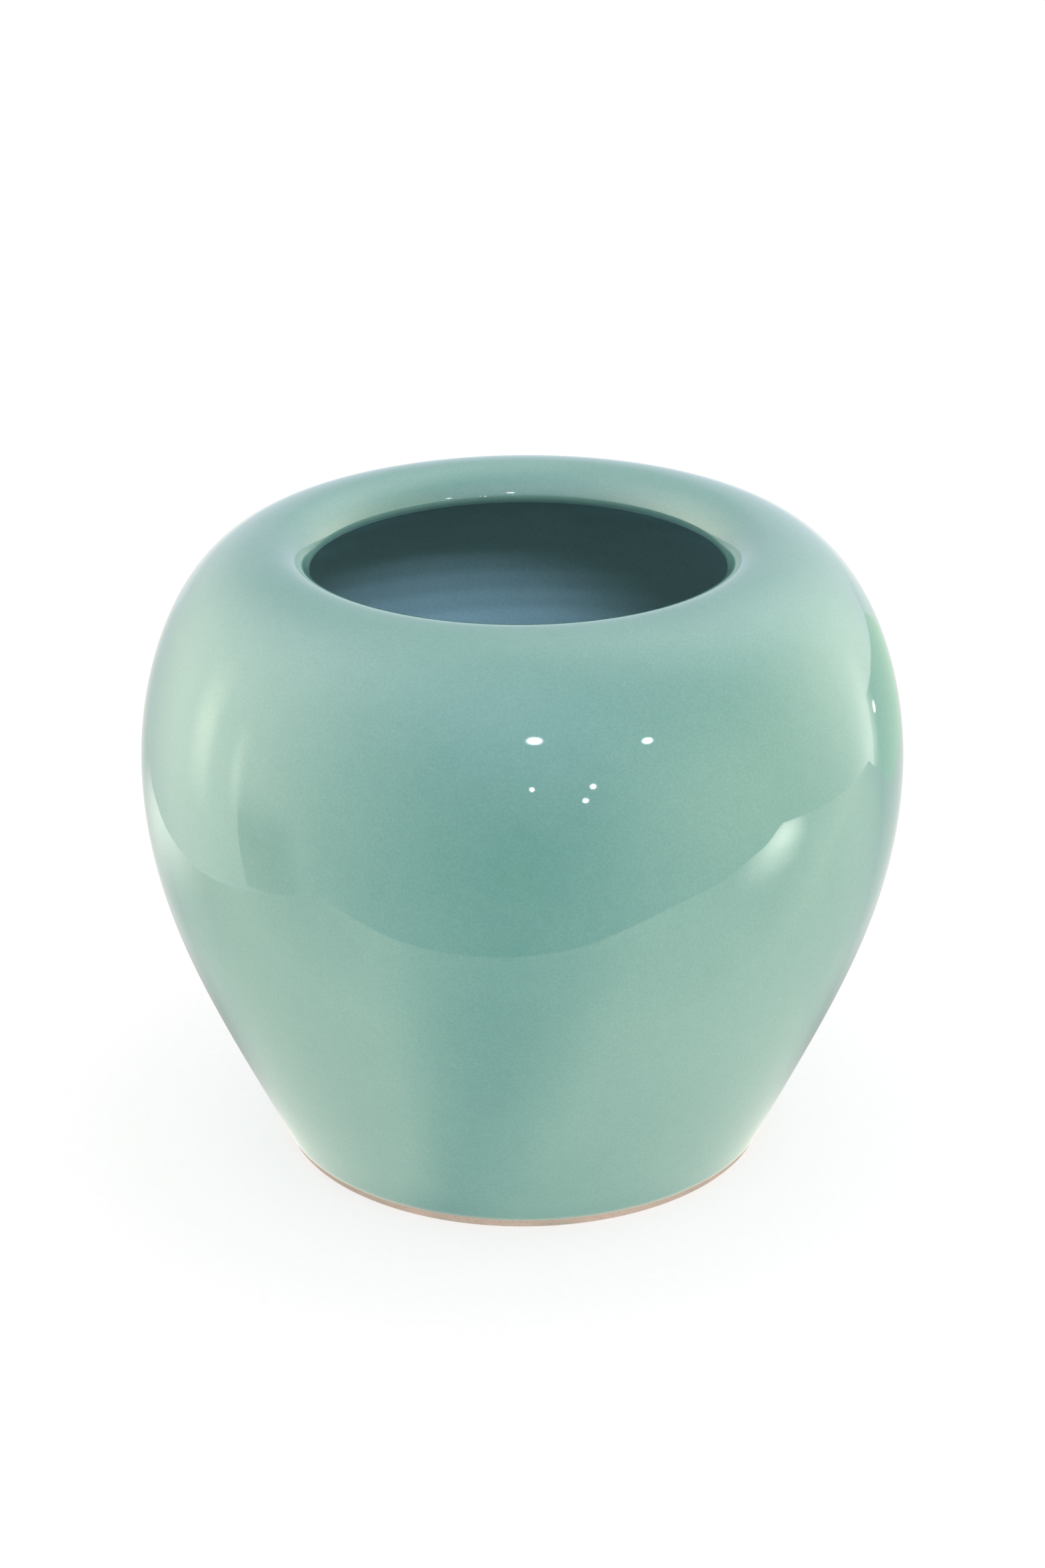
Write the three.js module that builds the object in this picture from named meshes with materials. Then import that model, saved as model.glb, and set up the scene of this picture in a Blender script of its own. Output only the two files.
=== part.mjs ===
// A glazed stoneware brush pot: a turned clay body with a foot ring, a full belly and a rim rolled
// in to a small mouth, and the three coats of glaze on it. Millimetres, +Z up. The pot stands on the
// plane z = 0, with its axis on Z.
import * as THREE from "three";

// Driving dimensions, measured on the glazed surface
const potHeight = 174.5;
const bellyRadius = 105;
const bellyHeight = 111.2;
const mouthRadius = 56.5;
const footRadius = 68.7; // where the outside glaze stops, just above the foot
const bareBand = 2.3; // height of the bare clay under that glaze line
const wallLean = THREE.MathUtils.degToRad(64.6); // slope of the wall as it leaves the foot
const rimRoll = 11.8; // radius of the rolled rim, inwards from its crest
const lipRound = 2.2; // radius of the lip that the roll ends in
const lipSlope = THREE.MathUtils.degToRad(25); // how far off upright the roll is where the lip begins
const underRimLean = THREE.MathUtils.degToRad(17); // rise of the underside as it leaves the lip

// Clay
const wallThickness = 6; // from the outside glaze to the inside glaze
const floorThickness = 7;
const footRecess = 4; // depth of the turned hollow under the base
const footRingWidth = 7;
const footChamfer = 0.6;
const floorCorner = 9; // height over the floor at which its round corner begins

// Glaze
const glazeThickness = 0.7;
const fitGap = 0.3; // clearance between a coat and the clay, and between two coats
const coat = glazeThickness + fitGap; // from the glazed surface down to the clay

const roundSteps = 48; // facets around the pot

// Handles of the wall's curves, each as a share of the rise or run that its curve covers
const footHandle = 0.45;
const lowerBellyHandle = 0.33;
const upperBellyHandle = 0.46;
const crestHandle = 0.64;
const underRimHandle = 0.4;

// How far along the shoulder's curve, from the belly, the wall begins to thicken into the rim
const rimStart = 0.66;

const point = (radius, height) => new THREE.Vector2(radius, height);
const heading = (angle, length) => point(Math.cos(angle), Math.sin(angle)).multiplyScalar(length);

// Centres of the two arcs that make the rim, in the plane (radius, height)
const lipCentreRadius = mouthRadius + lipRound;
const crestRadius = lipCentreRadius + (rimRoll - lipRound) * Math.cos(lipSlope);
const rollCentre = point(crestRadius, potHeight - rimRoll);
const lipCentre = heading(Math.PI - lipSlope, rimRoll - lipRound).add(rollCentre);

const floorHeight = footRecess + floorThickness;

// The outside wall in the plane (radius, height), from the glaze line at the foot to the belly
function lowerWallCurve() {
  const glazeLine = point(footRadius, bareBand);
  const rise = bellyHeight - bareBand;
  return new THREE.CubicBezierCurve(
    glazeLine,
    heading(wallLean, rise * footHandle).add(glazeLine),
    point(bellyRadius, bellyHeight - rise * lowerBellyHandle),
    point(bellyRadius, bellyHeight),
  );
}

// From the belly, over the shoulder, to the crest of the rim
function shoulderCurve() {
  const rise = potHeight - bellyHeight;
  const run = bellyRadius - crestRadius;
  return new THREE.CubicBezierCurve(
    point(bellyRadius, bellyHeight),
    point(bellyRadius, bellyHeight + rise * upperBellyHandle),
    point(crestRadius + run * crestHandle, potHeight),
    point(crestRadius, potHeight),
  );
}

// A stretch of the wall's inside: the outside curve moved in by the wall's thickness
class InsideOf extends THREE.Curve {
  constructor(outside, from, to) {
    super();
    this.outside = outside;
    this.from = from;
    this.to = to;
  }
  getPoint(share) {
    const along = THREE.MathUtils.lerp(this.from, this.to, share);
    const way = this.outside.getTangent(along);
    return this.outside.getPoint(along).add(point(-way.y, way.x).multiplyScalar(wallThickness));
  }
}

// The glazed surface is a chain of curves. This half of it runs from the glaze line at the foot, up
// the outside and over the rim, to the mouth's narrowest ring.
function outsideChain() {
  const rollEnd = Math.PI - lipSlope;
  const roll = new THREE.ArcCurve(rollCentre.x, rollCentre.y, rimRoll, Math.PI / 2, rollEnd);
  const lip = new THREE.ArcCurve(lipCentre.x, lipCentre.y, lipRound, rollEnd, Math.PI);
  return [
    { curve: lowerWallCurve(), steps: 7 },
    { curve: shoulderCurve(), steps: 8 },
    { curve: roll, steps: 4 },
    { curve: lip, steps: 1 },
  ];
}

// The other half turns round the lip, runs out under the rim, and down the inside wall to the middle
// of the floor. lipStart is how far round the lip it begins.
function insideChain(lipStart = 0) {
  const lipEnd = 1.5 * Math.PI + underRimLean;
  const lip = new THREE.ArcCurve(lipCentre.x, lipCentre.y, lipRound, Math.PI + lipStart, lipEnd);
  const shoulderInside = new InsideOf(shoulderCurve(), rimStart, 0);
  const cornerStart = (floorHeight + floorCorner - bareBand) / (bellyHeight - bareBand);
  const lowerInside = new InsideOf(lowerWallCurve(), 1, cornerStart);

  const underLip = lip.getPoint(1);
  const rimEnd = shoulderInside.getPoint(0);
  const handle = underLip.distanceTo(rimEnd) * underRimHandle;
  const underRim = new THREE.CubicBezierCurve(
    underLip,
    heading(underRimLean, handle).add(underLip),
    rimEnd.clone().addScaledVector(shoulderInside.getTangent(0), -handle),
    rimEnd,
  );

  // The wall runs straight on to here, where it would meet the floor if the corner were sharp
  const cornerTop = lowerInside.getPoint(1);
  const wallWay = lowerInside.getTangent(1);
  const cornerReach = (cornerTop.y - floorHeight) / -wallWay.y;
  const wallFoot = cornerTop.clone().addScaledVector(wallWay, cornerReach);
  const cornerFoot = point(wallFoot.x - cornerReach, floorHeight);
  return [
    { curve: lip, steps: 3 },
    { curve: underRim, steps: 4 },
    { curve: shoulderInside, steps: 5 },
    { curve: lowerInside, steps: 6 },
    { curve: new THREE.QuadraticBezierCurve(cornerTop, wallFoot, cornerFoot), steps: 3 },
    { curve: new THREE.LineCurve(cornerFoot, point(0, floorHeight)), steps: 1 },
  ];
}

// Points along a chain, sunk below the glazed surface by depth. The clay lies to the left all the way
// along both chains, and each curve starts in the direction in which the last one ended.
function layer(chain, depth) {
  return chain.flatMap(({ curve, steps }, index) => {
    const points = [];
    for (let step = index === 0 ? 0 : 1; step <= steps; step += 1) {
      const way = curve.getTangent(step / steps);
      points.push(curve.getPoint(step / steps).add(point(-way.y, way.x).multiplyScalar(depth)));
    }
    return points;
  });
}

// A profile turned about Z. It starts and ends on the axis, or closes on itself.
function turned(name, profile, material) {
  const shape = new THREE.LatheGeometry(profile, roundSteps);
  shape.rotateX(Math.PI / 2);
  const piece = new THREE.Mesh(shape, material);
  piece.name = name;
  return piece;
}

const bareClay = new THREE.MeshStandardMaterial({ color: 0xb9a48c, roughness: 0.85, metalness: 0 });
const celadon = new THREE.MeshStandardMaterial({ color: 0x8db3a8, roughness: 0.12, metalness: 0 });

const clayWall = layer(outsideChain(), coat);
const bandRadius = clayWall[0].x; // of the bare clay band
const ringInner = bandRadius - footRingWidth;

const clayBody = turned(
  "clay_body",
  [
    point(0, footRecess),
    point(ringInner - footChamfer, footRecess),
    point(ringInner, footRecess - footChamfer),
    point(ringInner, footChamfer),
    point(ringInner + footChamfer, 0),
    point(bandRadius - footChamfer, 0),
    point(bandRadius, footChamfer),
    ...clayWall,
    ...layer(insideChain(), coat).slice(1),
  ],
  bareClay,
);

const glazeFace = layer(outsideChain(), 0);
const outerGlaze = turned(
  "outer_glaze",
  [...glazeFace, ...layer(outsideChain(), glazeThickness).reverse(), glazeFace[0]],
  celadon,
);

// The two coats meet just inside the mouth, with the gap between them on the lip
const seamTurn = fitGap / (lipRound - glazeThickness);
const innerGlaze = turned(
  "inner_glaze",
  [...layer(insideChain(seamTurn), glazeThickness).reverse(), ...layer(insideChain(seamTurn), 0)],
  celadon,
);

const baseGlazeRadius = ringInner - footChamfer - fitGap;
const baseGlazeRound = glazeThickness / 2;
const baseGlaze = turned(
  "base_glaze",
  [
    point(0, footRecess - coat),
    point(baseGlazeRadius - baseGlazeRound, footRecess - coat),
    point(baseGlazeRadius, footRecess - coat + baseGlazeRound),
    point(baseGlazeRadius, footRecess - fitGap),
    point(0, footRecess - fitGap),
  ],
  celadon,
);

const brushPot = new THREE.Group();
brushPot.add(clayBody, outerGlaze, innerGlaze, baseGlaze);

export default brushPot;
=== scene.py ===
# A celadon brush pot of turned stoneware: a clay body, and the glaze on its outside, inside and base.
import math

import bmesh
import bpy
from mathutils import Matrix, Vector, noise
from mathutils.geometry import interpolate_bezier


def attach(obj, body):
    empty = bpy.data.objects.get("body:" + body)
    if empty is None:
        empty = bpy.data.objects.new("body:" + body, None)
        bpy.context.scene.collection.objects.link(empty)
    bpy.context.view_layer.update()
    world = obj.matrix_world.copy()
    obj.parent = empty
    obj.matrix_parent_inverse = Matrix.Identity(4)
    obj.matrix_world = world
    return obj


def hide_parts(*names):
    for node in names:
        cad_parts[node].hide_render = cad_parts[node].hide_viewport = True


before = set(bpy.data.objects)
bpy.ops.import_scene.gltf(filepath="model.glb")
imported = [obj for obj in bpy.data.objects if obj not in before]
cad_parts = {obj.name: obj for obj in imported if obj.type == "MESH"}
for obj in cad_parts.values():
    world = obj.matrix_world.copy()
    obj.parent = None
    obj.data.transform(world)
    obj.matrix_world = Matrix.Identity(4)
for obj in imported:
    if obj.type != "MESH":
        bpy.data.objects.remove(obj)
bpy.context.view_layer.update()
mm = 0.001
onAxis = 0.01 * mm
print("frame loaded:", ", ".join(sorted(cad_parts)))


def ringsOf(node):
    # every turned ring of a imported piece, as (radius, height)
    rings = set()
    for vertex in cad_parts[node].data.vertices:
        x, y, z = vertex.co
        rings.add((round(math.hypot(x, y), 6), round(z, 6)))
    return rings


def byHeight(ring):
    return ring[1]


# the pot's main sizes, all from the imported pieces
outerRings = ringsOf("outer_glaze")
innerRings = ringsOf("inner_glaze")
clayRings = ringsOf("clay_body")
baseRings = ringsOf("base_glaze")
belly = Vector(max(outerRings))
mouth = Vector(min(outerRings))
crest = Vector(max(outerRings, key=byHeight))
glazeLine = Vector(min(outerRings, key=byHeight))
insideBelly = min(radius for radius, height in innerRings if abs(height - belly.y) < onAxis)
floorTop = max(height for radius, height in innerRings if radius < onAxis)
recessTop = min(height for radius, height in clayRings if radius < onAxis)
standingRadius = min(radius for radius, height in clayRings if height < onAxis)
bandRadius = max(radius for radius, height in clayRings if height < glazeLine.y)
baseRadius = max(radius for radius, height in baseRings)
baseUnderside = min(height for radius, height in baseRings)
wallThickness = belly.x - insideBelly


outline = {
    "wallLean": math.radians(64.6),      # slope of the wall as it leaves the foot
    "lipSlope": math.radians(25),        # how far off upright the rim is where the lip begins
    "coatsMeet": math.radians(268),      # where on the lip the outer coat gives way to the inner
    "underRimLean": math.radians(17),    # rise of the underside as it leaves the lip
    "footHandle": 0.45,                  # curve handles, as shares of each curve's rise or run
    "lowerBellyHandle": 0.33,
    "upperBellyHandle": 0.46,
    "crestHandle": 0.64,
    "underRimHandle": 0.4,
    "rimStart": 0.66,                    # where on the shoulder the wall thickens into the rim
    "floorCorner": 9 * mm,
    "coat": 1.0 * mm,                    # from the glazed surface down to the clay
    "glazeDepth": 0.97 * mm,             # the glaze's own thickness, just clear of the clay
}

# how many steps draw each stretch of the outline
steps = {
    "lowerWall": 80,
    "shoulder": 100,
    "roll": 26,
    "lip": 20,
    "underLip": 4,
    "underRim": 32,
    "corner": 14,
    "floor": 24,
}


def heading(angle, length):
    return Vector((math.cos(angle), math.sin(angle))) * length


def arc(centre, radius, start, end, count):
    return [centre + heading(start + (end - start) * i / count, radius) for i in range(count + 1)]


def leftOf(way):
    return Vector((-way.y, way.x)).normalized()


def sunk(points, depth):
    # moves a line to its left, which is into the clay all the way round the pot
    moved = []
    for i, spot in enumerate(points):
        before = points[max(i - 1, 0)]
        after = points[min(i + 1, len(points) - 1)]
        way = (spot - before).normalized() + (after - spot).normalized()
        moved.append(spot + leftOf(way) * depth)
    return moved


def thinnedOut(points, every):
    # fewer points along a stretch that nobody sees, with both its ends kept
    return points[:-1:every] + points[-1:]


# the rim rolls in on one arc and ends in a smaller one, the lip
riseToCrest = crest.y - mouth.y
slope = outline["lipSlope"]
armLength = (crest.x - mouth.x - riseToCrest) / (math.cos(slope) + math.sin(slope) - 1)
lipRadius = crest.x - mouth.x - armLength * math.cos(slope)
rollRadius = lipRadius + armLength
rollCentre = Vector((crest.x, crest.y - rollRadius))
lipCentre = Vector((mouth.x + lipRadius, mouth.y))


def lowerWall():
    rise = belly.y - glazeLine.y
    return interpolate_bezier(
        glazeLine,
        glazeLine + heading(outline["wallLean"], rise * outline["footHandle"]),
        belly - Vector((0, rise * outline["lowerBellyHandle"])),
        belly,
        steps["lowerWall"] + 1,
    )


def shoulder():
    rise = crest.y - belly.y
    run = belly.x - crest.x
    return interpolate_bezier(
        belly,
        belly + Vector((0, rise * outline["upperBellyHandle"])),
        crest + Vector((run * outline["crestHandle"], 0)),
        crest,
        steps["shoulder"] + 1,
    )


def outsideLine():
    # from the glaze line at the foot, up and over the rim, and just under its lip
    rollEnd = math.pi - slope
    roll = arc(rollCentre, rollRadius, math.pi / 2, rollEnd, steps["roll"])
    lip = arc(lipCentre, lipRadius, rollEnd, outline["coatsMeet"], steps["lip"])
    return lowerWall() + shoulder()[1:] + roll[1:] + lip[1:]


def insideLine():
    # from where the coats meet, under the rim and down the inside to the middle of the floor
    lipEnd = 1.5 * math.pi + outline["underRimLean"]
    lip = arc(lipCentre, lipRadius, outline["coatsMeet"], lipEnd, steps["underLip"])
    rimStep = round(outline["rimStart"] * steps["shoulder"])
    upper = sunk(shoulder(), wallThickness)[rimStep::-1]
    cornerHeight = floorTop + outline["floorCorner"]
    cornerShare = (cornerHeight - glazeLine.y) / (belly.y - glazeLine.y)
    cornerStep = round(cornerShare * steps["lowerWall"])
    lower = sunk(lowerWall(), wallThickness)[:cornerStep - 1:-1]

    reach = (upper[0] - lip[-1]).length * outline["underRimHandle"]
    underRim = interpolate_bezier(
        lip[-1],
        lip[-1] + heading(outline["underRimLean"], reach),
        upper[0] + (upper[0] - upper[1]).normalized() * reach,
        upper[0],
        steps["underRim"] + 1,
    )

    # the wall and the floor are run on until they meet, and the corner is rounded between them
    cornerTop = lower[-1]
    wallWay = (lower[-1] - lower[-2]).normalized()
    cornerReach = (cornerTop.y - floorTop) / -wallWay.y
    wallFoot = cornerTop + wallWay * cornerReach
    cornerEnd = Vector((wallFoot.x - cornerReach, floorTop))
    corner = interpolate_bezier(
        cornerTop,
        cornerTop.lerp(wallFoot, 2 / 3),
        cornerEnd.lerp(wallFoot, 2 / 3),
        cornerEnd,
        steps["corner"] + 1,
    )
    middle = Vector((0, floorTop))
    floor = [cornerEnd.lerp(middle, i / steps["floor"]) for i in range(steps["floor"] + 1)]
    return lip + underRim[1:] + upper[1:] + lower[1:] + corner[1:] + floor[1:]


turning = {
    "segments": 256,             # facets round the pot
    "mouthShift": -0.83 * mm,    # the mouth was thrown slightly off the pot's axis
    "rimWave": 0.22 * mm,        # slow rise and fall of the crest
    "rimWaveStart": 0.6,         # where round the rim it starts, in radians
    "outsideRipple": 0.003 * mm,
    "insideRipple": 0.07 * mm,   # throwing rings that the fingers left inside
    "ripplePitch": 6.5 * mm,
    "softness": 0.05 * mm,       # unevenness a hand's width across
    "softnessScale": 16,
    "trueFoot": 20 * mm,         # the unevenness grows over this height above the foot
    "sharpEdge": math.radians(40),
}


def smooth(share):
    share = min(max(share, 0.0), 1.0)
    return share * share * (3 - 2 * share)


def thrown(radius, height, angle, ripple):
    # one ring's point, with the small unevenness of a pot made on the wheel
    aboveBelly = smooth((height - belly.y) / (crest.y - belly.y))
    towardsMouth = smooth((belly.x - radius) / (belly.x - mouth.x)) * aboveBelly
    grown = smooth((height - glazeLine.y) / turning["trueFoot"])
    turns = height / turning["ripplePitch"] + angle / math.tau
    wave = math.sin(turns * math.tau) * ripple * grown
    spot = Vector((math.cos(angle) * radius, math.sin(angle) * radius, height))
    wave += noise.noise(spot * turning["softnessScale"]) * turning["softness"] * grown
    spot.x += math.cos(angle) * wave + turning["mouthShift"] * towardsMouth
    spot.y += math.sin(angle) * wave
    spot.z += math.sin(2 * angle + turning["rimWaveStart"]) * turning["rimWave"] * aboveBelly
    return spot


def newObject(name, mesh):
    data = bpy.data.meshes.new(name)
    mesh.to_mesh(data)
    mesh.free()
    made = bpy.data.objects.new(name, data)
    bpy.context.scene.collection.objects.link(made)
    return made


def turnPiece(name, line, isLoop, ripple=0.0, shape=thrown):
    # turns a line about Z; it starts and ends on the axis, or closes on itself
    segments = turning["segments"]
    angles = [math.tau * i / segments for i in range(segments)]
    mesh = bmesh.new()
    rings = []
    for radius, height in line:
        if radius < onAxis:
            rings.append([mesh.verts.new((0, 0, height))])
            continue
        rings.append([mesh.verts.new(shape(radius, height, angle, ripple)) for angle in angles])
    followers = rings[1:] + rings[:1] if isLoop else rings[1:]
    for ring, nextRing in zip(rings, followers):
        for i in range(segments):
            j = (i + 1) % segments
            if len(ring) == 1:
                corners = [ring[0], nextRing[j], nextRing[i]]
            elif len(nextRing) == 1:
                corners = [ring[i], ring[j], nextRing[0]]
            else:
                corners = [ring[i], ring[j], nextRing[j], nextRing[i]]
            mesh.faces.new(corners).smooth = True
    bmesh.ops.recalc_face_normals(mesh, faces=mesh.faces)
    piece = newObject(name, mesh)
    piece.data.set_sharp_from_angle(angle=turning["sharpEdge"])
    return piece


def rgb(red, green, blue):
    return (red, green, blue, 1.0)


def newMaterial(name):
    material = bpy.data.materials.new(name)
    material.use_nodes = True
    material.node_tree.nodes.clear()
    return material, material.node_tree


def addNode(tree, kind, inputs=None, **settings):
    # an input is either a value or another node's output
    node = tree.nodes.new(kind)
    for key, value in settings.items():
        setattr(node, key, value)
    for key, value in (inputs or {}).items():
        if isinstance(value, bpy.types.NodeSocket):
            tree.links.new(value, node.inputs[key])
        else:
            node.inputs[key].default_value = value
    return node


def sums(tree, operation, *values):
    return addNode(tree, "ShaderNodeMath", dict(enumerate(values)), operation=operation).outputs[0]


def vectorSums(tree, operation, *values):
    node = addNode(tree, "ShaderNodeVectorMath", dict(enumerate(values)), operation=operation)
    return node.outputs["Value" if operation in ("DOT_PRODUCT", "LENGTH") else "Vector"]


def scaled(tree, vector, share):
    inputs = {0: vector, "Scale": share}
    return addNode(tree, "ShaderNodeVectorMath", inputs, operation="SCALE").outputs[0]


def lengthOf(tree, across, along):
    squares = [sums(tree, "MULTIPLY", side, side) for side in (across, along)]
    return sums(tree, "SQRT", sums(tree, "ADD", *squares))


def ranged(tree, value, low, high, newLow=0.0, newHigh=1.0, kind="SMOOTHSTEP"):
    inputs = {"Value": value, 1: low, 2: high, 3: newLow, 4: newHigh}
    return addNode(tree, "ShaderNodeMapRange", inputs, interpolation_type=kind).outputs[0]


def grain(tree, place, scale, detail=2.0, roughness=0.5):
    inputs = {"Vector": place, "Scale": scale, "Detail": detail, "Roughness": roughness}
    return addNode(tree, "ShaderNodeTexNoise", inputs).outputs[0]


def grey(tree, level):
    return addNode(tree, "ShaderNodeCombineColor", {0: level, 1: level, 2: level}).outputs[0]


def blended(tree, share, first, second, mode="MIX"):
    inputs = {0: share, 6: first, 7: second}
    return addNode(tree, "ShaderNodeMix", inputs, data_type="RGBA", blend_type=mode).outputs[2]


def bumped(tree, height, depth):
    inputs = {"Strength": 1.0, "Distance": depth, "Height": height}
    return addNode(tree, "ShaderNodeBump", inputs).outputs[0]


celadon = {
    "body": rgb(0.158, 0.342, 0.300),
    "deep": rgb(0.118, 0.292, 0.262),     # where the glaze has run thick
    "thin": rgb(0.335, 0.450, 0.405),     # over the lip, where it has run off
    "edge": rgb(0.480, 0.415, 0.345),     # at its lower edge, over the clay
    "cloudScale": 22,
    "dropScale": 260,
    "speckScale": 1500,
    "mottle": 0.35,                       # how much of the deep tone the clouds bring in
    "speckle": 0.05,
    "pooled": 0.6,                        # and how much of it has run down to the foot
    "poolHeights": (16 * mm, 2 * mm),
    "lipThinned": 0.16,                   # how much it thins over the sharp lip
    "lipReach": 1.9,                      # starting this many lip radii from the lip's centre
    "frayed": 1.0,                        # how much the lower edge pales
    "frayTop": 2.4 * mm,
    "frayWaver": 1.0 * mm,
    "frayScale": 30,
    "gloss": 0.035,
    "glossScale": 60,
    "orangePeel": 0.0008 * mm,
    "orangePeelScale": 900,
    "ior": 1.5,
}
# inside the pot the glaze is painted a little greyer and bluer, which stands in for the cool light in the
# mouth, and it is less glossy; under the base its edge is whole
celadonInsideCoolLit = dict(celadon, body=rgb(0.215, 0.350, 0.345), deep=rgb(0.175, 0.310, 0.305), gloss=0.16)
celadonUnder = dict(celadon, frayed=0.0)


def celadonGlaze(name, look):
    material, tree = newMaterial(name)
    place = addNode(tree, "ShaderNodeTexCoord").outputs["Object"]
    axes = addNode(tree, "ShaderNodeSeparateXYZ", {0: place})
    radius = lengthOf(tree, axes.outputs[0], axes.outputs[1])
    height = axes.outputs[2]

    clouds = ranged(tree, grain(tree, place, look["cloudScale"], 3), 0.35, 0.7)
    drops = ranged(tree, grain(tree, place, look["dropScale"], 2), 0.3, 0.75)
    clouds = sums(tree, "MULTIPLY", clouds, look["mottle"])
    drops = sums(tree, "MULTIPLY", drops, look["mottle"] * 0.5)
    pooled = sums(tree, "MULTIPLY", ranged(tree, height, *look["poolHeights"]), look["pooled"])
    thick = sums(tree, "MAXIMUM", sums(tree, "ADD", clouds, drops), pooled)
    tone = blended(tree, thick, look["body"], look["deep"])

    # at its lower edge the glaze is thin enough for the clay to show through
    waver = sums(tree, "MULTIPLY", grain(tree, place, look["frayScale"], 3), look["frayWaver"])
    fraying = sums(tree, "ADD", height, waver)
    frayed = ranged(tree, fraying, glazeLine.y + look["frayTop"], glazeLine.y)
    tone = blended(tree, sums(tree, "MULTIPLY", frayed, look["frayed"]), tone, look["edge"])

    # it thins again where it turns over the sharp lip
    acrossLip = sums(tree, "SUBTRACT", radius, lipCentre.x)
    alongLip = sums(tree, "SUBTRACT", height, lipCentre.y)
    nearLip = ranged(tree, lengthOf(tree, acrossLip, alongLip), lipRadius * look["lipReach"], lipRadius)
    tone = blended(tree, sums(tree, "MULTIPLY", nearLip, look["lipThinned"]), tone, look["thin"])

    darkest, palest = 1 - look["speckle"], 1 + look["speckle"]
    specks = ranged(tree, grain(tree, place, look["speckScale"], 1), 0.25, 0.8, darkest, palest)
    tone = blended(tree, 1.0, tone, grey(tree, specks), "MULTIPLY")

    worn = grain(tree, place, look["glossScale"], 2)
    shader = addNode(tree, "ShaderNodeBsdfPrincipled", {
        "Base Color": tone,
        "Roughness": ranged(tree, worn, 0.3, 0.7, look["gloss"] * 0.8, look["gloss"] * 1.3),
        "Normal": bumped(tree, grain(tree, place, look["orangePeelScale"], 2), look["orangePeel"]),
        "IOR": look["ior"],
    })
    addNode(tree, "ShaderNodeOutputMaterial", {"Surface": shader.outputs[0]})
    return material


bareClay = {
    "body": rgb(0.560, 0.440, 0.360),
    "flashed": rgb(0.640, 0.455, 0.370),   # warmer, where the kiln reached it beside the glaze
    "dusty": rgb(0.430, 0.370, 0.300),
    "grit": rgb(0.16, 0.11, 0.08),
    "flashHeights": (0.6 * mm, 2.4 * mm),
    "flash": 0.7,
    "patchScale": 55,
    "gritScale": 1100,
    "gritAmount": 0.45,
    "grainScale": 900,
    "grainDepth": 0.05 * mm,
    "specular": 0.3,
}


def bareClayBody(name, look):
    material, tree = newMaterial(name)
    place = addNode(tree, "ShaderNodeTexCoord").outputs["Object"]
    height = addNode(tree, "ShaderNodeSeparateXYZ", {0: place}).outputs[2]
    patches = ranged(tree, grain(tree, place, look["patchScale"], 3), 0.35, 0.68)
    tone = blended(tree, patches, look["body"], look["dusty"])
    nearGlaze = sums(tree, "MULTIPLY", ranged(tree, height, *look["flashHeights"]), look["flash"])
    tone = blended(tree, nearGlaze, tone, look["flashed"])
    grit = addNode(tree, "ShaderNodeTexVoronoi", {"Vector": place, "Scale": look["gritScale"]}).outputs[0]
    specks = sums(tree, "MULTIPLY", ranged(tree, grit, 0.28, 0.1), look["gritAmount"])
    tone = blended(tree, specks, tone, look["grit"])
    rough = grain(tree, place, look["grainScale"], 4, 0.65)
    shader = addNode(tree, "ShaderNodeBsdfPrincipled", {
        "Base Color": tone,
        "Normal": bumped(tree, rough, look["grainDepth"]),
        "Roughness": ranged(tree, rough, 0.3, 0.7, 0.78, 0.92),
        "Specular IOR Level": look["specular"],
    })
    addNode(tree, "ShaderNodeOutputMaterial", {"Surface": shader.outputs[0]})
    return material


outside = outsideLine()
inside = insideLine()

outerCoat = {
    "swell": 0.12 * mm,       # how far the glaze stands out where it has run down and stopped
    "swellRise": 2.2 * mm,
    "waver": 0.16 * mm,       # unevenness of the line where it stops
    "waverRise": 6 * mm,
    "waverScale": 7,
    "beadReach": 1.5,         # the rounded edge takes this many of its own radii off the coat
    "beadSteps": 10,
    "backEvery": 4,           # the hidden back keeps one point in this many
}


def outerCoatShape(radius, height, angle, ripple):
    spot = thrown(radius, height, angle, ripple)
    nearFoot = 1 - smooth((height - glazeLine.y) / outerCoat["waverRise"])
    around = Vector((math.cos(angle), math.sin(angle), 0.0))
    spot.z += noise.noise(around * outerCoat["waverScale"]) * outerCoat["waver"] * nearFoot
    return spot


def makeOuterCoat():
    depth = outline["glazeDepth"]
    half = depth / 2
    beadReach = half * outerCoat["beadReach"]
    way = (outside[1] - outside[0]).normalized()
    out = -leftOf(way)

    face = []
    for spot in outside:
        along = (spot - outside[0]).length
        if along > beadReach:
            share = 1 - smooth(along / outerCoat["swellRise"])
            face.append(spot + out * outerCoat["swell"] * share)

    back = sunk(outside, depth)
    back = [spot for spot in back if (spot - back[0]).length > beadReach]

    centre = outside[0] + (way - out) * half
    bead = []
    for i in range(outerCoat["beadSteps"] + 1):
        turn = math.pi * i / outerCoat["beadSteps"]
        bead.append(centre - out * math.cos(turn) * half - way * math.sin(turn) * half)

    line = face + thinnedOut(back[::-1], outerCoat["backEvery"]) + bead
    piece = turnPiece("celadonOutside", line, True, turning["outsideRipple"], outerCoatShape)
    piece.data.materials.append(celadonGlaze("celadon glaze, outside", celadon))
    return piece


innerCoat = {
    "backEvery": 3,           # the hidden back keeps one point in this many
}


def makeInnerCoat():
    back = thinnedOut(sunk(inside, outline["glazeDepth"])[::-1], innerCoat["backEvery"])
    back[0].x = 0
    piece = turnPiece("celadonInside", back + inside, False, turning["insideRipple"])
    # the inside coat's colour carries the painted cool light of the mouth
    piece.data.materials.append(celadonGlaze("celadon glaze, inside", celadonInsideCoolLit))
    return piece


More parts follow.
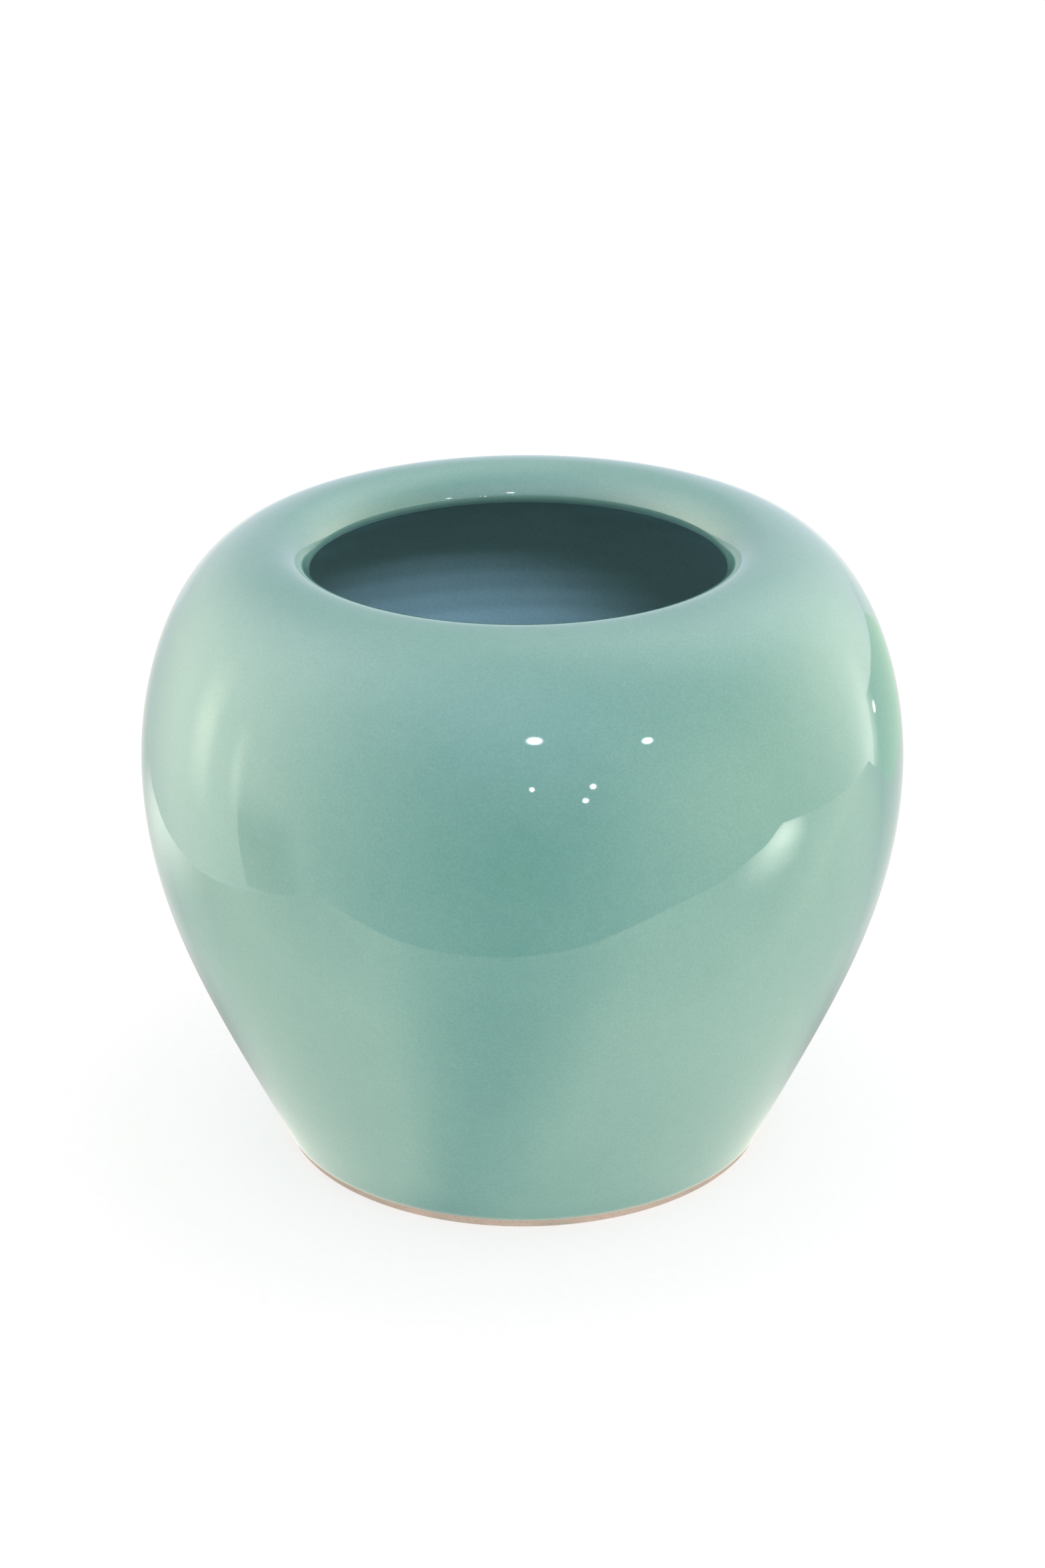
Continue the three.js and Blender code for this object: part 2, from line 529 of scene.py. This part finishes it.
clayPot = {
    "footEdge": 0.7 * mm,     # rounding of the foot ring's edges
    "ringChamfer": 0.6 * mm,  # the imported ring's inner face stands this far inside its standing edge
    "bandTop": 0.6,           # the bare band is upright up to this share of the glaze line's height
    "recessSteps": 20,
    "ringSteps": 4,
    "wallEvery": 4,           # the clay under the glaze keeps one point in this many
    "hollowEvery": 3,
}


def makeClayBody():
    edge = clayPot["footEdge"]
    ringInner = standingRadius - clayPot["ringChamfer"]
    recessMiddle = Vector((0, recessTop))
    recessEnd = Vector((ringInner - edge, recessTop))
    recessSteps = clayPot["recessSteps"]
    foot = [recessMiddle.lerp(recessEnd, i / recessSteps) for i in range(recessSteps + 1)]
    foot += arc(recessEnd - Vector((0, edge)), edge, math.pi / 2, 0, 5)[1:]
    foot += arc(Vector((ringInner + edge, edge)), edge, math.pi, 1.5 * math.pi, 6)
    foot += [Vector((ringInner + edge + (i + 1) * mm, 0)) for i in range(clayPot["ringSteps"])]
    foot += arc(Vector((bandRadius - edge, edge)), edge, -0.5 * math.pi, 0, 6)
    foot.append(Vector((bandRadius, glazeLine.y * clayPot["bandTop"])))
    wall = thinnedOut(sunk(outside, outline["coat"]), clayPot["wallEvery"])
    hollow = thinnedOut(sunk(inside, outline["coat"])[1:], clayPot["hollowEvery"])
    hollow[-1].x = 0
    piece = turnPiece("stonewareBody", foot + wall + hollow, False)
    piece.data.materials.append(bareClayBody("bare stoneware", bareClay))
    return piece


baseCoat = {
    "clearance": 0.03 * mm,   # between its top and the clay
    "steps": 24,
    "edgeSteps": 8,
}


def makeBaseCoat():
    depth = recessTop - baseUnderside - baseCoat["clearance"]
    edge = depth / 2
    flat = baseRadius - edge
    rim = Vector((flat, baseUnderside + edge))
    line = [Vector((flat * i / baseCoat["steps"], baseUnderside)) for i in range(baseCoat["steps"])]
    line += arc(rim, edge, -0.5 * math.pi, 0.5 * math.pi, baseCoat["edgeSteps"])
    line.append(Vector((0, baseUnderside + depth)))
    piece = turnPiece("celadonBase", line, False, 0.0, outerCoatShape)
    piece.data.materials.append(celadonGlaze("celadon glaze, base", celadonUnder))
    return piece


pieces = {
    "outer_glaze": (makeOuterCoat, "celadon_glaze"),
    "inner_glaze": (makeInnerCoat, "celadon_glaze"),
    "clay_body": (makeClayBody, "bare_clay"),
    "base_glaze": (makeBaseCoat, "celadon_glaze"),
}
for node, (make, slotName) in pieces.items():
    piece = make()
    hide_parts(node)
    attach(piece, "root")
    print("made", piece.name, "with", len(piece.data.polygons), "faces")


paleFloor = {
    "radius": 6.0,
    "segments": 96,
    "paper": (0.36, 0.38),            # darkest and palest of the paper's tooth
    "toothScale": 400,
    "glow": 0.67,                     # lifts the floor to clean white and keeps the shadow pale
    "glowColour": rgb(1.0, 0.985, 0.98),
}


def makeFloor():
    look = paleFloor
    mesh = bmesh.new()
    bmesh.ops.create_circle(mesh, cap_ends=True, radius=look["radius"], segments=look["segments"])
    floor = newObject("paleFloor", mesh)
    material, tree = newMaterial("pale paper floor")
    place = addNode(tree, "ShaderNodeTexCoord").outputs["Object"]
    tooth = ranged(tree, grain(tree, place, look["toothScale"], 3), 0.3, 0.7, *look["paper"])
    matt = addNode(tree, "ShaderNodeBsdfDiffuse", {"Color": grey(tree, tooth)})
    glow = addNode(tree, "ShaderNodeEmission", {"Color": look["glowColour"], "Strength": look["glow"]})
    both = addNode(tree, "ShaderNodeAddShader", {0: matt.outputs[0], 1: glow.outputs[0]})
    addNode(tree, "ShaderNodeOutputMaterial", {"Surface": both.outputs[0]})
    floor.data.materials.append(material)
    floor.visible_glossy = False


softSky = {
    "colour": rgb(1.0, 1.0, 1.0),
    "strength": 1.30,
    "right": 0.25,                    # how much stronger it is from the right
    "overhead": -0.28,                # and overhead
}


def makeSky():
    world = bpy.data.worlds.new("soft studio")
    world.use_nodes = True
    tree = world.node_tree
    background = tree.nodes["Background"]
    background.inputs["Color"].default_value = softSky["colour"]
    direction = addNode(tree, "ShaderNodeTexCoord").outputs["Generated"]
    axes = addNode(tree, "ShaderNodeSeparateXYZ", {0: direction})
    right = sums(tree, "MULTIPLY_ADD", axes.outputs[0], softSky["right"], softSky["strength"])
    overhead = sums(tree, "MULTIPLY", axes.outputs[2], softSky["overhead"])
    tree.links.new(sums(tree, "ADD", right, overhead), background.inputs["Strength"])
    bpy.context.scene.world = world


def towards(azimuth, elevation):
    # azimuth 0 is the front and 90 the right, in degrees
    across, up = math.radians(azimuth), math.radians(elevation)
    return Vector((math.sin(across) * math.cos(up), -math.cos(across) * math.cos(up), math.sin(up)))


def placeFacing(thing, centre, azimuth, elevation, away):
    # stands a thing off from a centre, with its face turned back to it
    direction = towards(azimuth, elevation)
    thing.location = centre + direction * away
    thing.rotation_euler = direction.to_track_quat("Z", "Y").to_euler()


softWindow = {
    "towards": (15, 44.5),            # azimuth and elevation
    "away": 2.0,
    "size": 0.62,
    "power": 56,
    "colour": (0.66, 0.72, 1.0),
}


def makeWindow():
    # a soft light high in front, which reaches down the mouth to the far inside wall
    light = bpy.data.lights.new("softWindow", "AREA")
    light.shape = "SQUARE"
    light.size = softWindow["size"]
    light.energy = softWindow["power"]
    light.color = softWindow["colour"]
    window = bpy.data.objects.new("softWindow", light)
    bpy.context.scene.collection.objects.link(window)
    placeFacing(window, Vector((0, 0, crest.y)), *softWindow["towards"], softWindow["away"])
    window.visible_glossy = False
    insideOnly = bpy.data.collections.new("litByWindow")
    insideOnly.objects.link(bpy.data.objects["celadonInside"])
    window.light_linking.receiver_collection = insideOnly


def onlyMirrored(stagePiece, tree, shader):
    # seen in the glaze, and nowhere else
    addNode(tree, "ShaderNodeOutputMaterial", {"Surface": shader.outputs[0]})
    for ray in ("camera", "diffuse", "transmission", "volume_scatter", "shadow"):
        setattr(stagePiece, "visible_" + ray, False)


def glowMaterial(stagePiece, name):
    material, tree = newMaterial(name)
    material.cycles.emission_sampling = "NONE"
    stagePiece.data.materials.append(material)
    place = addNode(tree, "ShaderNodeTexCoord").outputs["Object"]
    return tree, place


def glowThrough(stagePiece, tree, mask, glow):
    # a glow that fades to nothing where the mask does
    clear = addNode(tree, "ShaderNodeBsdfTransparent")
    shader = addNode(tree, "ShaderNodeMixShader", {0: mask, 1: clear.outputs[0], 2: glow.outputs[0]})
    onlyMirrored(stagePiece, tree, shader)


# the walls round the pot, as the glaze mirrors them
mirroredWalls = {
    "away": 12.0,
    "ambient": (0.79, 0.81, 0.90),
    "glows": [                        # (azimuth, elevation, tightness, strength, colour)
        (-97, 4, 3, 3.65, (1.0, 1.0, 0.74)),
        (118, 6, 8, 2.15, (1.0, 1.0, 0.78)),
        (85, 5, 4, 0.76, (1.0, 1.0, 0.30)),
        (60, 0, 8, 1.36, (1.0, 1.0, 0.66)),
        (-95, 50, 4, 1.91, (1.0, 1.0, 1.05)),
        (125, 50, 6, 2.29, (1.0, 1.0, 0.93)),
        (0, 45, 5, 0.90, (1.0, 1.1, 1.56)),
        (0, 90, 3, 0.28, (1.0, 1.0, 1.20)),
        (-60, -25, 6, 0.45, (1.0, 1.0, 0.60)),
        (50, -28, 6, 0.45, (1.0, 1.0, 0.60)),
        (180, 0, 6, 0.30, (1.0, 1.0, 1.25)),
    ],
    "shades": [                       # its dark ends: (azimuth, elevation, tightness, depth)
        (-2, -12, 11, 1.0),
        (-4, -36, 80, 1.0),
        (-150, -18, 16, 0.30),
    ],
}


def lobe(tree, direction, azimuth, elevation, tightness, strength):
    facing = vectorSums(tree, "DOT_PRODUCT", direction, towards(azimuth, elevation))
    narrowed = sums(tree, "POWER", sums(tree, "MAXIMUM", facing, 0.0), tightness)
    return sums(tree, "MULTIPLY", narrowed, strength)


def makeMirroredWalls():
    look = mirroredWalls
    mesh = bmesh.new()
    bmesh.ops.create_icosphere(mesh, subdivisions=4, radius=look["away"])
    walls = newObject("mirroredWalls", mesh)
    tree, place = glowMaterial(walls, "walls seen in the glaze")
    direction = vectorSums(tree, "NORMALIZE", place)
    total = look["ambient"]
    for *glow, colour in look["glows"]:
        total = vectorSums(tree, "ADD", total, scaled(tree, colour, lobe(tree, direction, *glow)))
    for shade in look["shades"]:
        total = scaled(tree, total, sums(tree, "SUBTRACT", 1.0, lobe(tree, direction, *shade)))
    onlyMirrored(walls, tree, addNode(tree, "ShaderNodeEmission", {"Color": total}))


# the furniture and curtains round the table, as the glaze mirrors them
mirroredPanels = {
    "away": 6.0,
    "rightCabinet": {
        "towards": (149, -16), "size": (45, 22),       # both in degrees, as the pot sees them
        "level": 1.1, "colour": (0.8, 1.0, 0.75),
        "soft": (0.01, 0.01, 0.01, 0.04),              # how far the left, right, bottom and top sides fade
    },
    "rightDoor": {
        "towards": (121, -4), "size": (22, 34),
        "level": 4.3, "colour": (1.0, 1.0, 0.85),
        "soft": (0.9, 0.5, 0.3, 0.6),
    },
    "leftScreen": {
        "towards": (-78, -15), "size": (24, 26),
        "level": 2.5, "colour": (1.0, 1.0, 0.75),
        "soft": (0.04, 0.3, 0.02, 0.6),
    },
    "leftCurtain": {
        "towards": (-91, 0), "size": (9, 30),
        "level": 6.4, "colour": (1.0, 1.0, 0.80),
        "soft": (0.5, 0.6, 0.5, 0.7),
    },
    "farCurtain": {
        "towards": (-109, 2), "size": (16, 40),
        "level": 6.4, "colour": (1.0, 1.0, 0.80),
        "soft": (0.6, 0.35, 0.5, 0.6),
    },
}


def halfSpan(away, angle):
    return away * math.tan(math.radians(angle / 2))


def makePanel(name):
    look = mirroredPanels[name]
    away = mirroredPanels["away"]
    halfWidth, halfHeight = [halfSpan(away, angle) for angle in look["size"]]
    mesh = bmesh.new()
    signs = [(-1, -1), (1, -1), (1, 1), (-1, 1)]
    mesh.faces.new([mesh.verts.new((x * halfWidth, y * halfHeight, 0)) for x, y in signs])
    panel = newObject(name, mesh)
    placeFacing(panel, Vector((0, 0, belly.y)), *look["towards"], away)
    tree, place = glowMaterial(panel, name + " glow")
    axes = addNode(tree, "ShaderNodeSeparateXYZ", {0: place})
    softLeft, softRight, softBottom, softTop = look["soft"]
    sides = [
        (0, -halfWidth, softLeft), (0, halfWidth, softRight),
        (1, -halfHeight, softBottom), (1, halfHeight, softTop),
    ]
    mask = 1.0
    for axis, side, soft in sides:
        fade = ranged(tree, axes.outputs[axis], side, side * (1 - 2 * soft))
        mask = sums(tree, "MULTIPLY", mask, fade)
    glow = addNode(tree, "ShaderNodeEmission", {"Color": rgb(*look["colour"]), "Strength": look["level"]})
    glowThrough(panel, tree, mask, glow)


# the table top, as the glaze mirrors it
mirroredTable = {
    "edge": [                          # its corners, from the front left round by the right
        (-0.268, -0.200), (0.0, -0.238), (0.17, -0.262), (0.655, -0.178), (0.53, 0.235),
        (0.285, 0.200), (0.225, 0.330), (0.260, 0.510), (0.95, 1.490), (1.20, 2.200), (-1.20, 2.200),
        (-0.300, 0.600), (-0.262, 0.150),
    ],
    "above": 0.2 * mm,                 # how far it lies above the floor
    "middle": (0.95, 0.95, 0.90),
    "sides": 1.95,                     # how much brighter it gets away from the pot
    "sideColour": (1.0, 1.0, 0.70),
    "sidesReach": (0.07, 0.37),        # from and to, measured out from the pot
    "sidesSweep": (1.4, 2.4),          # how fast it pales towards the front, behind and before the pot
    "centreLine": -0.02,
    "centreFrom": (-0.07, -0.23),      # a darker wedge opens towards the front edge
    "centreWidth": (0.02, 0.17),
    "lee": 0.45,                       # how much dimmer it is close behind the pot
    "leeSide": (0.15, 0.09),           # where the lee fades in across the table
    "leeStart": (-0.02, 0.04),         # and along it
    "leeEnd": (0.25, 0.12),
    "backdrop": 0.25,                  # how much it pales again towards the backdrop
    "backdropReach": (0.3, 0.9),
    "backdropColour": (1.0, 1.0, 1.3),
    "patches": [                       # brighter patches, right and left: (place, spread, strength)
        ((0.52, -0.16), (0.29, 0.10), 7.0),
        ((-0.30, 0.13), (0.15, 0.15), 1.95),
    ],
    "patchColour": (1.0, 1.0, 0.86),
}


def makeMirroredTable():
    look = mirroredTable
    mesh = bmesh.new()
    mesh.faces.new([mesh.verts.new((x, y, look["above"])) for x, y in look["edge"]])
    table = newObject("mirroredTable", mesh)
    tree, place = glowMaterial(table, "table seen in the glaze")
    axes = addNode(tree, "ShaderNodeSeparateXYZ", {0: place})
    across, along = axes.outputs[0], axes.outputs[1]

    fromPot = sums(tree, "ABSOLUTE", across)
    sweeps = [sums(tree, "MULTIPLY", along, -sweep) for sweep in look["sidesSweep"]]
    outwards = sums(tree, "ADD", fromPot, sums(tree, "MAXIMUM", *sweeps))
    sides = ranged(tree, outwards, *look["sidesReach"], 0.0, look["sides"], "LINEAR")
    offCentre = sums(tree, "ABSOLUTE", sums(tree, "SUBTRACT", across, look["centreLine"]))
    wedge = ranged(tree, along, *look["centreFrom"], *look["centreWidth"], "LINEAR")
    sides = sums(tree, "MULTIPLY", sides, ranged(tree, sums(tree, "DIVIDE", offCentre, wedge), 0.0, 1.0))
    total = vectorSums(tree, "ADD", scaled(tree, look["sideColour"], sides), look["middle"])

    lee = ranged(tree, fromPot, *look["leeSide"], 0.0, look["lee"])
    for fade in (look["leeStart"], look["leeEnd"]):
        lee = sums(tree, "MULTIPLY", lee, ranged(tree, along, *fade))
    total = scaled(tree, total, sums(tree, "SUBTRACT", 1.0, lee))

    paler = ranged(tree, along, *look["backdropReach"], 0.0, look["backdrop"])
    total = vectorSums(tree, "ADD", total, scaled(tree, look["backdropColour"], paler))
    for (x, y), spread, strength in look["patches"]:
        fromPatch = vectorSums(tree, "SUBTRACT", place, (x, y, look["above"]))
        offPatch = vectorSums(tree, "LENGTH", vectorSums(tree, "DIVIDE", fromPatch, (*spread, 1.0)))
        patch = ranged(tree, offPatch, 1.0, 0.0, 0.0, strength)
        total = vectorSums(tree, "ADD", total, scaled(tree, look["patchColour"], patch))
    onlyMirrored(table, tree, addNode(tree, "ShaderNodeEmission", {"Color": total}))


# small bright lamps, each with its azimuth, elevation, width and height in degrees, and its strength
lamps = {
    "away": 5.4,
    "fade": (1.0, 0.15),     # from the rim inwards, as shares of the lamp's radius
    "segments": 48,
    "each": {
        "frontLamp": (4.3, 34.6, 5.7, 4.4, 60),
        "sideLamp": (41.0, 28.0, 4.1, 3.7, 60),
        "lowLamp": (20.8, 14.6, 2.3, 2.0, 60),
        "lowerLamp": (18.2, 10.5, 2.3, 2.1, 60),
        "middleLamp": (2.8, 15.0, 1.8, 1.8, 60),
        "rightLamp": (130.5, -8.8, 1.5, 2.0, 40),
    },
}


def makeLamp(name, azimuth, elevation, width, height, strength):
    away = lamps["away"]
    mesh = bmesh.new()
    bmesh.ops.create_circle(mesh, cap_ends=True, radius=1.0, segments=lamps["segments"])
    lamp = newObject(name, mesh)
    placeFacing(lamp, Vector((0, 0, belly.y)), azimuth, elevation, away)
    lamp.scale = (halfSpan(away, width), halfSpan(away, height), 1)
    tree, place = glowMaterial(lamp, name + " glow")
    mask = ranged(tree, vectorSums(tree, "LENGTH", place), *lamps["fade"])
    glowThrough(lamp, tree, mask, addNode(tree, "ShaderNodeEmission", {"Strength": strength}))


makeFloor()
makeSky()
makeWindow()
makeMirroredWalls()
makeMirroredTable()
for name in ("rightCabinet", "rightDoor", "leftScreen", "leftCurtain", "farCurtain"):
    makePanel(name)
for name, lamp in lamps["each"].items():
    makeLamp(name, *lamp)
print("studio ready")


camera = {
    "place": (0.0, -0.945, 0.51065),
    "downward": 23.384,      # degrees
    "roll": -0.29,
    "lens": 85.1,
    "sensorHeight": 36.0,
    "farthest": 50,
}


def makeCamera():
    data = bpy.data.cameras.new("camera")
    data.sensor_fit = "VERTICAL"
    data.sensor_height = camera["sensorHeight"]
    data.lens = camera["lens"]
    data.clip_end = camera["farthest"]
    eye = bpy.data.objects.new("camera", data)
    bpy.context.scene.collection.objects.link(eye)
    eye.location = camera["place"]
    eye.rotation_euler = (math.radians(90 - camera["downward"]), 0, 0)
    eye.rotation_euler.rotate_axis("Z", math.radians(camera["roll"]))
    bpy.context.scene.camera = eye


makeCamera()
bpy.context.scene.view_settings.view_transform = "Standard"
print("camera set")
